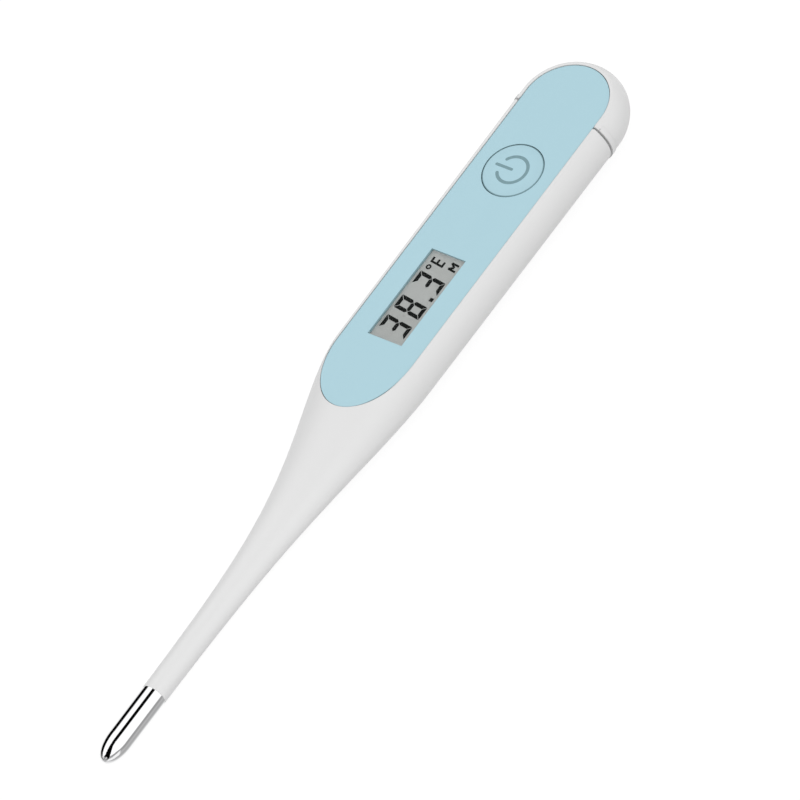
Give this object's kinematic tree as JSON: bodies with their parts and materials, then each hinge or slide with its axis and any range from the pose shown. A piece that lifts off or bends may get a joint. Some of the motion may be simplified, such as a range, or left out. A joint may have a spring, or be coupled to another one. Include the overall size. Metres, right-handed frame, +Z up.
{
  "type": "digital thermometer",
  "caption": "Slim clinical stick thermometer with a steel probe tip, tapering stem, face display, round power button and a pull-off battery cover.",
  "frame": {"origin": "under the middle of the length, on the plane that the flat back rests on", "axes": "+X along the length from the probe tip to the battery end, +Z up out of the display face, +Y the upper side of the figures on the display"},
  "size_m": [0.1276, 0.0174, 0.0092],
  "materials": {
    "case_white": "satin moulded ABS, fine moulding grain",
    "panel_blue": "pale blue satin printed panel",
    "button_blue": "pale blue satin cap with a darker printed sign",
    "adhesive_film": "translucent double-sided film",
    "seal_rubber": "soft black rubber",
    "pad_rubber": "translucent grey silicone",
    "spring_steel": "bright rolled spring steel",
    "clear_window": "polished clear window",
    "polarizer_film": "smooth grey polarizing film",
    "lcd_glass": "polished thin glass",
    "lcd_epoxy": "thin line of cured epoxy",
    "segment_dark": "dark liquid crystal segments",
    "reflector_grey": "grey-green reflective film",
    "frame_grey": "moulded grey plastic",
    "zebra_rubber": "layered conductive rubber",
    "board_green": "green solder mask on glass-fibre board",
    "resin_black": "black encapsulation resin",
    "component_ceramic": "small ceramic components with tinned ends",
    "brass": "thin rolled brass",
    "piezo_ceramic": "silvered piezo ceramic",
    "wire_copper": "enamelled copper wire",
    "cell_steel": "bright nickel-plated steel can",
    "bead_glass": "small amber glass bead",
    "resin_clear": "cured pale epoxy resin",
    "probe_steel": "polished stainless steel"
  },
  "bodies": {
    "case": {"body_shell": "case_white", "cover_seal": "seal_rubber", "face_panel": "panel_blue", "panel_adhesive": "adhesive_film", "button_pad": "pad_rubber", "dome_switch": "spring_steel", "lcd_window": "clear_window", "lcd_front_polarizer": "polarizer_film", "lcd_front_glass": "lcd_glass", "lcd_edge_seal": "lcd_epoxy", "lcd_segments": "segment_dark", "lcd_back_glass": "lcd_glass", "lcd_reflector": "reflector_grey", "lcd_holder": "frame_grey", "zebra_connector": "zebra_rubber", "pcb": "board_green", "chip_blob": "resin_black", "smd_components": "component_ceramic", "buzzer_disc": "brass", "buzzer_ceramic": "piezo_ceramic", "buzzer_wires": "wire_copper", "battery_cell": "cell_steel", "battery_contact_positive": "spring_steel", "battery_contact_negative": "spring_steel", "sensor_wires": "wire_copper", "thermistor": "bead_glass", "tip_potting": "resin_clear", "tip_adhesive": "resin_clear", "tip_cap": "probe_steel"},
    "button": {"power_button": "button_blue"},
    "cover": {"battery_cover": "case_white"}
  },
  "joints": [
    {"name": "button_press", "type": "slide", "parent": "case", "child": "button", "axis": [0, 0, -1], "range_m": [0, 0.0004], "deforming": ["button_pad", "dome_switch"]},
    {"name": "cover_pull", "type": "slide", "parent": "case", "child": "cover", "axis": [1, 0, 0], "range_m": [0, 0.016]}
  ]
}
